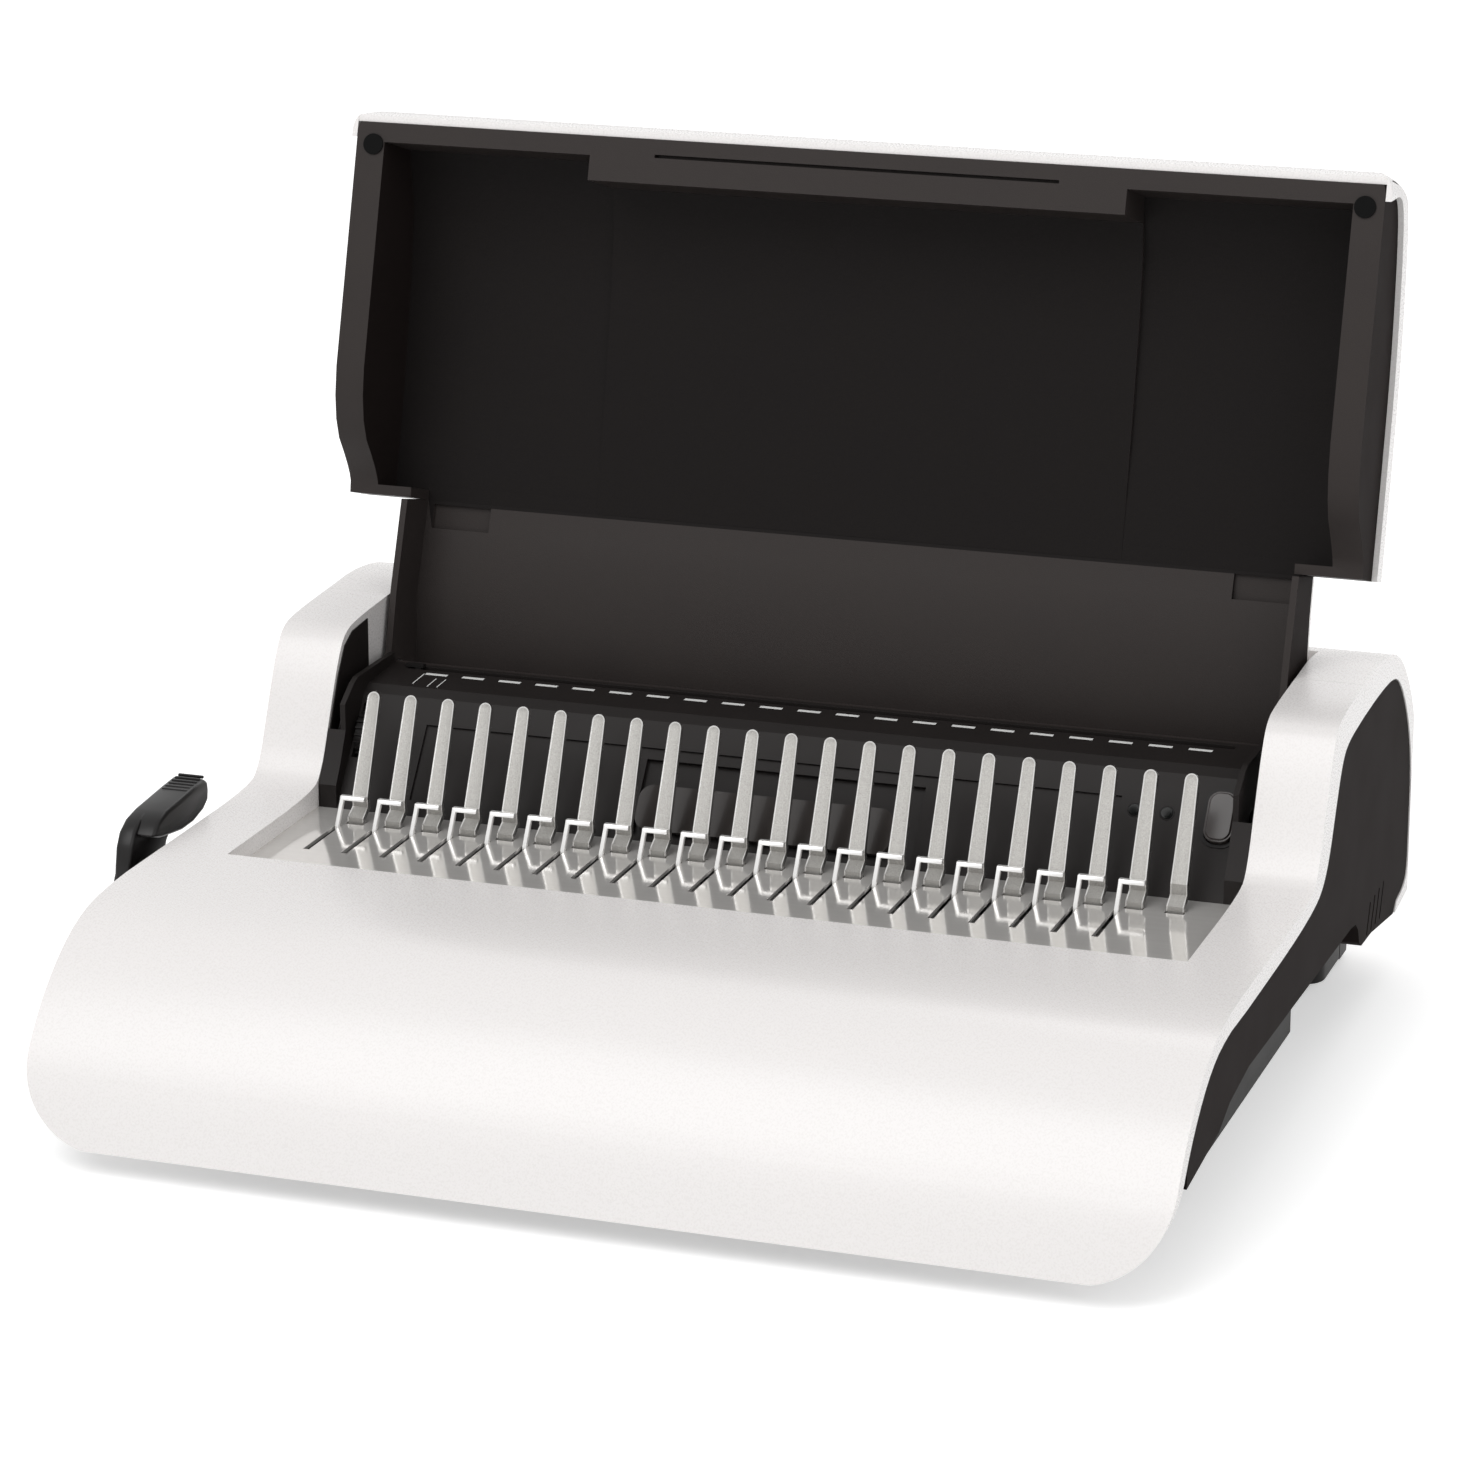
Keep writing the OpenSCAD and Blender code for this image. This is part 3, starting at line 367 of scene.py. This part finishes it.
# %% Covers and panels
for node, finish, width in (
        ("top_cover", white_gloss, 1.0), ("rear_cover", white_gloss, 1.0),
        ("side_panel_left", side_charcoal, 0.6), ("side_panel_right", side_charcoal, 0.6),
        ("base_pan", soot, 0.5), ("lid_shell", white_gloss, 0.9),
        ("chip_drawer", soot, 0.6), ("comb_plate", mirror_sheet, 0.1)):
    dress(node, finish, width)
# The well's lining takes the charcoal darkened as painted shade.
dress("well_liner", well_shaded_charcoal, 0.4, crease=16.0)

# %% [markdown]
# ## Lid liner
# One moulding lines the lid in three finishes: the rim is charcoal, the floor of the recess
# is painted nearly black as painted shade, and the ends are darker and duller. Three
# pieces would leave seams, so one piece carries three finishes, and its faces are
# picked by where they look and how deep they lie, seen along the open lid.

# %% Lid liner in three finishes
LID_OPEN = math.radians(106.6)
NECK_REACH = 60 * MM
END_DEPTH = 30 * MM
inward = Vector((0.0, -math.sin(LID_OPEN), -math.cos(LID_OPEN)))
upward = Vector((0.0, -math.cos(LID_OPEN), math.sin(LID_OPEN)))
hinge_point = Vector((0.0, 78.5, 102.3)) * MM
liner_end = max(abs(corner[0]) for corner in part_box("lid_liner")) - END_DEPTH
liner_piece = dress("lid_liner", charcoal, 1.2)
for extra in (painted_shade_black, side_charcoal):
    liner_piece.data.materials.append(extra.material)
# The recess floor gets finish 1, the painted shade; the ends get the darker, duller finish 2.
for face in liner_piece.data.polygons:
    from_hinge = face.center - hinge_point
    if abs(face.normal.x) > 0.7 and abs(face.center.x) > liner_end:
        face.material_index = 2
    elif (face.normal.dot(inward) > 0.9 and from_hinge.dot(inward) < 1 * MM
          and from_hinge.dot(upward) > NECK_REACH):
        face.material_index = 1
for index, tone in enumerate(("charcoal", "black", "dull")):
    print("liner faces in", tone, sum(f.material_index == index for f in liner_piece.data.polygons))

# %% [markdown]
# ## Pieces that keep their CAD mesh
# Small trims, the feet and the works inside are already the right shape, and their
# edges are too small or too hidden to need rounding. They only change their finish.

# %% Everything else keeps its mesh
for node, finish in {
        "rubber_feet": rubber, "button_bezel": soot, "indicator_lenses": lens_tint,
        "gauge_window": smoked, "hinge_trough": charcoal, "hook_guides": soot,
        "chassis_plates": zinc, "die_block": zinc, "paper_chute": charcoal,
        "punch_bar": zinc, "punch_pins": bright_sheet, "camshaft": zinc,
        "camshaft_gear": nylon, "motor_bracket": zinc, "drive_motor": zinc,
        "motor_pinion": brass, "circuit_board": board, "power_inlet": soot,
        "switch_frame": soot, "power_switch": soot, "edge_wheel": soot, "edge_stop": soot,
        "lever_bushes": nylon, "lever_bracket": zinc, "lever_crank": zinc,
        "lid_bumpers": bumper_black, "hinge_pins": zinc, "hinge_brackets": soot,
        "cover_screws": zinc}.items():
    finish_node(node, finish)

# %% [markdown]
# ## Fingers
# Each finger is a stamped steel strip: a bright coined rim frames a pitted face, the
# tip is a half round, and the sheet is folded twice just above the comb plate. A
# modeller could cut the outline from a plane, but the folds run across it, so here a
# grid of one column is laid along the finger's side view instead. Every row gets its
# own half width, an inset makes the rim, and solidify gives the sheet its thickness.

# %% Sizes of a finger, and its side view
PITCH = 14.2875 * MM
FINGERS = 22
FOOT_WIDTH, TIP_WIDTH, TAPER = 6.2, 4.6, 0.018
SHEET, RIM, RIM_STEP = 1.2, 0.42, 0.12
LEAN = math.radians(23.5)
middle_x = sum(corner[0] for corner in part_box("comb_plate")) / 2
first_x = middle_x - PITCH * (FINGERS - 1) / 2
rack_low, rack_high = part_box("finger_rack")


def finger_rows():
    """Side view from foot to tip, as y, z and half width in millimetres."""
    tip_r = TIP_WIDTH / 2
    top = rack_high[2] / MM - tip_r * math.cos(LEAN)
    line_y = lambda z: -1.9 + (z - 65.4) * math.tan(LEAN)
    folds = [(-1.6, 65.2), (-1.5, 70.0), (3.2, 72.8), (line_y(76.6), 76.6)]
    spine = folds + [(line_y(z), z) for z in (84.0, 96.0)]
    rows = [(y, z, FOOT_WIDTH / 2 - TAPER * (z - 66)) for y, z in spine]
    for angle in (0, 20, 40, 55, 70, 82):
        rise = tip_r * math.sin(math.radians(angle))
        rows.append((line_y(top) + rise * math.sin(LEAN), top + rise * math.cos(LEAN),
                     tip_r * math.cos(math.radians(angle))))
    return rows


rows = finger_rows()
print("a finger's side view has", len(rows), "rows")

# %% One finger
def copied_along(bm, part, count):
    """Repeats a part of the bmesh at the comb's pitch, towards the right."""
    for number in range(1, count):
        copy = bmesh.ops.duplicate(bm, geom=part)["geom"]
        bmesh.ops.translate(bm, vec=(PITCH * number, 0.0, 0.0),
                            verts=[item for item in copy if isinstance(item, bmesh.types.BMVert)])


fingers = bmesh.new()
bmesh.ops.create_grid(fingers, x_segments=1, y_segments=len(rows) - 1, size=1.0)
for vert in fingers.verts:
    y, z, half_width = rows[round((vert.co.y + 1) / 2 * (len(rows) - 1))]
    vert.co = Vector((math.copysign(half_width, vert.co.x), y, z)) * MM
bmesh.ops.recalc_face_normals(fingers, faces=fingers.faces)
if sum(face.normal.y for face in fingers.faces) > 0:
    bmesh.ops.reverse_faces(fingers, faces=fingers.faces)
pitted_faces = fingers.faces[:]
bmesh.ops.inset_region(fingers, faces=pitted_faces, thickness=RIM * MM, depth=-RIM_STEP * MM,
                       use_boundary=True, use_even_offset=True)
for face in pitted_faces:
    face.material_index = 1
bmesh.ops.solidify(fingers, geom=fingers.faces[:], thickness=SHEET * MM)
bmesh.ops.translate(fingers, vec=(first_x, 0.0, 0.0), verts=fingers.verts)
print("one finger:", len(fingers.faces), "faces")

# %% Twenty-two fingers on their strip
copied_along(fingers, fingers.verts[:] + fingers.edges[:] + fingers.faces[:], FINGERS)
strip = bmesh.ops.create_cube(fingers, size=1.0)["verts"]
strip_size = Vector((rack_high[0] - rack_low[0], 9.8 * MM, 1.5 * MM))
bmesh.ops.scale(fingers, vec=strip_size, verts=strip)
bmesh.ops.translate(fingers, vec=(middle_x, 4.1 * MM, 65.8 * MM), verts=strip)
smooth_below(fingers, 25.0)
finger_row = place_mesh(fingers, "fingers_stamped", "machine_body",
                        [polished_rim, pitted])
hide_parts("finger_rack")
print("fingers:", FINGERS, "with", len(finger_row.data.polygons), "faces")

# %% [markdown]
# ## Dark lining of the arms
# The well's lining carries on up the inner wall of both white arms, so that only the
# arms' rounded edges show white. It is a thin flat moulding in the well's charcoal,
# darkened as painted shade. One outline follows the arm a little below its edge, and
# solidify gives the sheet its thickness.

# %% Arm linings
LINING_SIDE = [(13.2, 68.4), (13.2, 74.0), (18.2, 83.4), (25.0, 96.6), (32.0, 111.2),
               (38.6, 121.0), (46.0, 124.6), (60.0, 125.6), (60.0, 107.2), (45.0, 106.2),
               (37.0, 100.4), (26.0, 86.0), (15.0, 69.6), (14.0, 68.4)]
LINING_THICK, LINING_PROUD = 0.4 * MM, 0.1 * MM
plate_low, plate_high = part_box("comb_plate")
well_half = (plate_high[0] - plate_low[0]) / 2 - 3 * MM
linings = bmesh.new()
for side in (-1, 1):
    wall_x = middle_x + side * (well_half - LINING_PROUD)
    ring = [linings.verts.new((wall_x, y * MM, z * MM)) for y, z in LINING_SIDE]
    sheet = linings.faces.new(ring)
    sheet.normal_update()
    if sheet.normal.x * side < 0:
        sheet.normal_flip()
    bmesh.ops.solidify(linings, geom=[sheet], thickness=LINING_THICK)
bmesh.ops.recalc_face_normals(linings, faces=linings.faces)
lining_pair = place_mesh(linings, "arm_linings", "machine_body",
                         [well_shaded_charcoal])
print("linings:", len(lining_pair.data.polygons), "faces")

# %% [markdown]
# ## Hooks
# Behind each slot stands a hook that pulls the comb's rings open. It is a narrow bright
# strip on a common rail: its leg leans back towards the finger and its top bar crosses
# in front of it. Tubes along a curve would look round, so each hook is a box whose end
# face is extruded twice, and the row is made of copies of the first.

# %% The hook's leg
HOOKS = 21
LEG_IN, LEG_OUT, BAR_END = -4.0, -5.5, 3.7
LEG_DEPTH, LEG_RISE = 2.0, 8.4
rail_low, rail_high = (Vector(corner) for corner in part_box("hook_rail"))
rail_top = rail_low.z + 3 * MM
leg_y = rail_low.y + 4.5 * MM
hooks = bmesh.new()


def spanned_box(bm, low, high):
    """A box between two corners, given in metres."""
    verts = bmesh.ops.create_cube(bm, size=1.0)["verts"]
    bmesh.ops.scale(bm, vec=high - low, verts=verts)
    bmesh.ops.translate(bm, vec=(low + high) / 2, verts=verts)
    return verts


spanned_box(hooks, Vector((first_x + LEG_OUT * MM, leg_y, rail_low.z + 1 * MM)),
            Vector((first_x + LEG_IN * MM, leg_y + LEG_DEPTH * MM, rail_top + LEG_RISE * MM)))
print("leg foot at", [round(value / MM, 1) for value in (first_x + LEG_OUT * MM, leg_y)])

# %% Lean the leg back and grow the bar
def highest(faces):
    return max(faces, key=lambda face: face.calc_center_median().z)


def grow_face(bm, face, vec_mm):
    """Extrudes one face and carries its new end along."""
    grown = bmesh.ops.extrude_discrete_faces(bm, faces=[face])["faces"]
    bmesh.ops.translate(bm, vec=Vector(vec_mm) * MM, verts=grown[0].verts)


grow_face(hooks, highest(hooks.faces), (0.0, 5.0, 8.0))
grow_face(hooks, highest(hooks.faces), (0.0, 0.6, 1.5))
grow_face(hooks, highest([face for face in hooks.faces if face.normal.x > 0.9]),
          (BAR_END - LEG_IN, 0.0, 0.0))
bevel_edges(hooks, edges_above(hooks.edges, 50.0), 0.25, 2)
print("one hook:", len(hooks.faces), "faces")

# %% Twenty-one hooks on their rail
copied_along(hooks, hooks.verts[:] + hooks.edges[:] + hooks.faces[:], HOOKS)
spanned_box(hooks, rail_low, Vector((rail_high.x, rail_low.y + 9 * MM, rail_top)))
smooth_below(hooks, 30.0)
hook_row = place_mesh(hooks, "hooks_formed", node_body["hook_rail"],
                      [hook_steel])
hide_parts("hook_rail")
print("hooks:", HOOKS, "with", len(hook_row.data.polygons), "faces")

# %% [markdown]
# ## Printed marks on the shelf
# A white dash is printed above every hole, and three long ticks at the left show where
# common sheet sizes end. Pad printing is far thinner than any other piece, so each mark
# is a flat grid that floats a hair above the sloping shelf.

# %% Dashes and ticks
HOLES = 21
DASH, DASH_LINE = (8.4, 2.0), 59.2
TICK_WIDTH = 0.4
TICKS = ((-147.6, 53.3, 11.5), (-141.3, 50.6, 9.0), (-137.6, 50.6, 9.0))
SHELF_EDGE = (44.5, 106.2)
SHELF_SLOPE = math.atan2(1.0, 21.5)
FLOAT = 0.05
print_white = Finish("printed_white", Roughness=0.5)
speckle = print_white.noise(900.0)
print_white.feed("Base Color", print_white.mixed(speckle, rgb(224, 224, 222), rgb(246, 246, 245)))


def shelf_point(x, y):
    """A point a hair above the sloping shelf, in metres from its place in millimetres."""
    return Vector((x, y, SHELF_EDGE[1] + (y - SHELF_EDGE[0]) * math.tan(SHELF_SLOPE) + FLOAT)) * MM


def printed_bar(bm, x, y, wide, deep):
    """One flat mark, centred on x and y, in millimetres from the machine's middle."""
    bar = bmesh.ops.create_grid(bm, x_segments=1, y_segments=1, size=0.5)["verts"]
    bmesh.ops.scale(bm, vec=Vector((wide, deep, 1.0)) * MM, verts=bar)
    bmesh.ops.rotate(bm, cent=(0, 0, 0), matrix=Matrix.Rotation(SHELF_SLOPE, 3, "X"), verts=bar)
    bmesh.ops.translate(bm, vec=shelf_point(x, y) + Vector((middle_x, 0.0, 0.0)), verts=bar)


marks = bmesh.new()
for number in range(HOLES):
    printed_bar(marks, (number - (HOLES - 1) / 2) * PITCH / MM, DASH_LINE, *DASH)
for x, y, deep in TICKS:
    printed_bar(marks, x, y, TICK_WIDTH, deep)
printed = place_mesh(marks, "printed_marks", "machine_body", [print_white])
print("marks:", len(printed.data.polygons))

# %% [markdown]
# ## Binding lever
# The lever is one moulding: a flat arm outside the body rises from its hub, bends
# rearwards and widens into a thumb grip with six ribs. Sculpting it from a cube would
# need many loop cuts, so its two side views are drawn as short outlines instead. Each
# outline becomes one face, is extruded to its width and then rounded with a bevel.

# %% Side views of the arm and the grip
ARM_SIDE = [(-68.8, 57.5), (-67.6, 66.0), (-66.2, 72.5), (-63.2, 77.4), (-57.6, 80.6),
            (-50.0, 82.0), (-41.0, 82.7), (-28.0, 83.7), (-18.4, 84.2), (-16.4, 83.0),
            (-16.0, 80.0), (-16.6, 76.6), (-20.0, 74.4), (-27.0, 72.2), (-33.4, 69.8),
            (-37.4, 66.6), (-39.4, 62.6), (-43.0, 58.0), (-50.0, 55.0)]
GRIP_SIDE = [(-62.0, 76.0), (-57.0, 80.4), (-50.0, 82.1), (-41.0, 82.8), (-28.0, 83.8),
             (-18.6, 84.3), (-16.6, 83.0), (-16.0, 80.0), (-16.6, 76.2), (-20.6, 73.6),
             (-29.0, 71.6), (-38.0, 71.4), (-47.0, 72.6), (-56.0, 74.0)]
ARM_WIDE, GRIP_WIDE = 6.2, 13.0
hand_low, hand_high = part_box("binding_lever")
outer_x = hand_low[0] / MM
lever = bmesh.new()


def extruded_side(bm, outline, x0, x1, round_mm):
    """A side view in millimetres, extruded along X and rounded all round."""
    ring = [bm.verts.new(Vector((x0, y, z)) * MM) for y, z in outline]
    face = bm.faces.new(ring)
    far = bmesh.ops.extrude_face_region(bm, geom=[face], use_keep_orig=True)["geom"]
    moved = [part for part in far if isinstance(part, bmesh.types.BMVert)]
    bmesh.ops.translate(bm, vec=((x1 - x0) * MM, 0.0, 0.0), verts=moved)
    block = list(dict.fromkeys(linked for vert in ring + moved for linked in vert.link_faces))
    bmesh.ops.recalc_face_normals(bm, faces=block)
    rims = edges_above(dict.fromkeys(edge for side in block for edge in side.edges), 60.0)
    bevel_edges(bm, rims, round_mm, 3)


extruded_side(lever, ARM_SIDE, outer_x, outer_x + ARM_WIDE, 1.2)
extruded_side(lever, GRIP_SIDE, outer_x + 0.05, outer_x + GRIP_WIDE, 1.5)
print("arm and grip:", len(lever.faces), "faces")

# %% Hub and shaft
HUB_R, SHAFT_R = 9.0, 5.0
HUB_Y, HUB_Z = -60.0, 57.5
lie_along_x = Matrix.Rotation(math.pi / 2, 4, "Y")
for radius, x0, x1 in ((HUB_R, outer_x, outer_x + 16.8),
                       (SHAFT_R, outer_x + 2.0, hand_high[0] / MM)):
    centre = Vector(((x0 + x1) / 2, HUB_Y, HUB_Z)) * MM
    bmesh.ops.create_cone(lever, cap_ends=True, segments=48, radius1=radius * MM,
                          radius2=radius * MM, depth=(x1 - x0) * MM,
                          matrix=Matrix.Translation(centre) @ lie_along_x)
print("hub and shaft turn about y, z", (HUB_Y, HUB_Z))

# %% Grip ribs
RIBS = 6
RIB_SIZE = Vector((9.8, 1.25, 1.1))
FIRST_RIB = Vector((outer_x + 6.4, -30.6, 83.35))
RIB_STEP = Vector((0.0, 2.75, 0.22))
for number in range(RIBS):
    rib = bmesh.ops.create_cube(lever, size=1.0)["verts"]
    bmesh.ops.scale(lever, vec=RIB_SIZE * MM, verts=rib)
    bevel_edges(lever, list({edge for vert in rib for edge in vert.link_edges}), 0.4, 2)
    made = [vert for vert in lever.verts if vert.co.length < 7 * MM]
    bmesh.ops.translate(lever, vec=(FIRST_RIB + RIB_STEP * number) * MM, verts=made)
smooth_below(lever, 32.0)
lever_piece = place_mesh(lever, "lever_moulded", "lever", [lever_black])
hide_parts("binding_lever")
print("lever:", len(lever_piece.data.polygons), "faces")

# %% [markdown]
# ## Punch button and indicator lamps
# The button is an oval with a softly domed front, and a small bevel is all that its
# CAD copy needs. Each indicator is a dark lens in a raised collar. A torus primitive
# has no bmesh operator, so a collar is one small circle spun about the lens axis.

# %% Button
dress("punch_button", button_gloss, 0.6, 3)

# %% Indicator collars
COLLAR_R, COLLAR_THICK = 2.3 * MM, 0.42 * MM
WALL_LEAN = math.atan2(25.4, 33.0)
lens_low, lens_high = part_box("indicator_lenses")
lens_mid = (Vector(lens_low) + Vector(lens_high)) / 2
outward = Vector((0.0, -math.cos(WALL_LEAN), math.sin(WALL_LEAN)))
lens_spread = (lens_high[0] - lens_low[0]) / 2 - 2 * MM
collars = bmesh.new()
for side in (-1, 1):
    centre = lens_mid + Vector((side * lens_spread, 0.0, 0.0)) + 1.3 * MM * outward
    ring = bmesh.ops.create_circle(collars, cap_ends=False, radius=COLLAR_THICK,
                                   segments=10)["verts"]
    bmesh.ops.translate(collars, vec=(COLLAR_R, 0.0, 0.0), verts=ring)
    ring_edges = list({edge for vert in ring for edge in vert.link_edges})
    bmesh.ops.rotate(collars, cent=(COLLAR_R, 0, 0), matrix=Matrix.Rotation(math.pi / 2, 3, "X"),
                     verts=ring)
    before = set(collars.verts) - set(ring)
    bmesh.ops.spin(collars, geom=ring + ring_edges, cent=(0, 0, 0), axis=(0, 0, 1), angle=math.tau,
                   steps=28, use_merge=True)
    made = [vert for vert in collars.verts if vert not in before]
    turn = outward.to_track_quat("Z", "Y").to_matrix()
    bmesh.ops.rotate(collars, cent=(0, 0, 0), matrix=turn, verts=made)
    bmesh.ops.translate(collars, vec=centre, verts=made)
bmesh.ops.recalc_face_normals(collars, faces=collars.faces)
smooth_below(collars, 60.0)
collar_pair = place_mesh(collars, "indicator_collars", "machine_body", [soot])
print("collars:", len(collar_pair.data.polygons), "faces")

# %% [markdown]
# ## Floor, lamps and world
# The machine stands on a plain white sweep. Large soft lamps keep the shadows
# open, and the white background is only what the camera and glossy rays see.

# %% Rays that see the white background
def background_rays(wiring):
    """One for the camera, for mirrored and for bent rays, and nothing for the rest."""
    straight, mirrored, bent = (wiring.node("ShaderNodeLightPath", {}, {}, out="Is %s Ray" % kind)
                                for kind in ("Camera", "Glossy", "Transmission"))
    return straight + mirrored + bent


print("background helper ready")

# %% Floor
FLOOR_GLOW = 0.45
floor_mesh = bmesh.new()
bmesh.ops.create_grid(floor_mesh, x_segments=1, y_segments=1, size=12.0)
bmesh.ops.translate(floor_mesh, vec=(0.0, 0.0, cad_box[0][2] - 0.2 * MM), verts=floor_mesh.verts)
floor_data = bpy.data.meshes.new("floor")
floor_mesh.to_mesh(floor_data)
floor_mesh.free()
floor = bpy.data.objects.new("floor", floor_data)
bpy.context.scene.collection.objects.link(floor)
floor_white = Finish("floor_white", Roughness=0.9, Emission_Strength=1.0)
floor_cloud = floor_white.noise(0.5)
floor_white.feed("Base Color", floor_white.mixed(floor_cloud, rgb(250, 250, 250), rgb(252, 252, 252)))
floor_white.feed("Emission Color", FLOOR_GLOW * background_rays(floor_white))
floor_data.materials.append(floor_white.material)
print("floor at", round(cad_box[0][2] / MM - 0.2, 2), "mm")

# %% Lamps
def soft_lamp(name, place, aim, size, watts):
    lamp_data = bpy.data.lights.new(name, "AREA")
    lamp_data.size = size
    lamp_data.energy = watts
    lamp = bpy.data.objects.new(name, lamp_data)
    lamp.location = place
    lamp.rotation_euler = (Vector(aim) - Vector(place)).to_track_quat("-Z", "Y").to_euler()
    bpy.context.scene.collection.objects.link(lamp)
    print(name, watts, "W")


soft_lamp("key_lamp", (-0.6, -1.6, 2.2), (0.0, 0.0, 0.08), 1.8, 30.0)
soft_lamp("fill_lamp", (1.9, -1.2, 1.4), (0.0, 0.0, 0.1), 1.6, 9.0)
soft_lamp("rear_lamp", (0.2, 1.9, 1.9), (0.0, 0.1, 0.1), 1.6, 13.0)

# %% World
WORLD_LIGHT = 0.48
world = bpy.data.worlds.new("studio")
world.use_nodes = True
bpy.context.scene.world = world
sky = Wiring(world.node_tree, "Background")
sky.shader.inputs["Color"].default_value = (1.0, 1.0, 1.0, 1.0)
sky.feed("Strength", WORLD_LIGHT + (1.0 - WORLD_LIGHT) * background_rays(sky))
bpy.context.scene.view_settings.view_transform = "Standard"
print("studio ready")
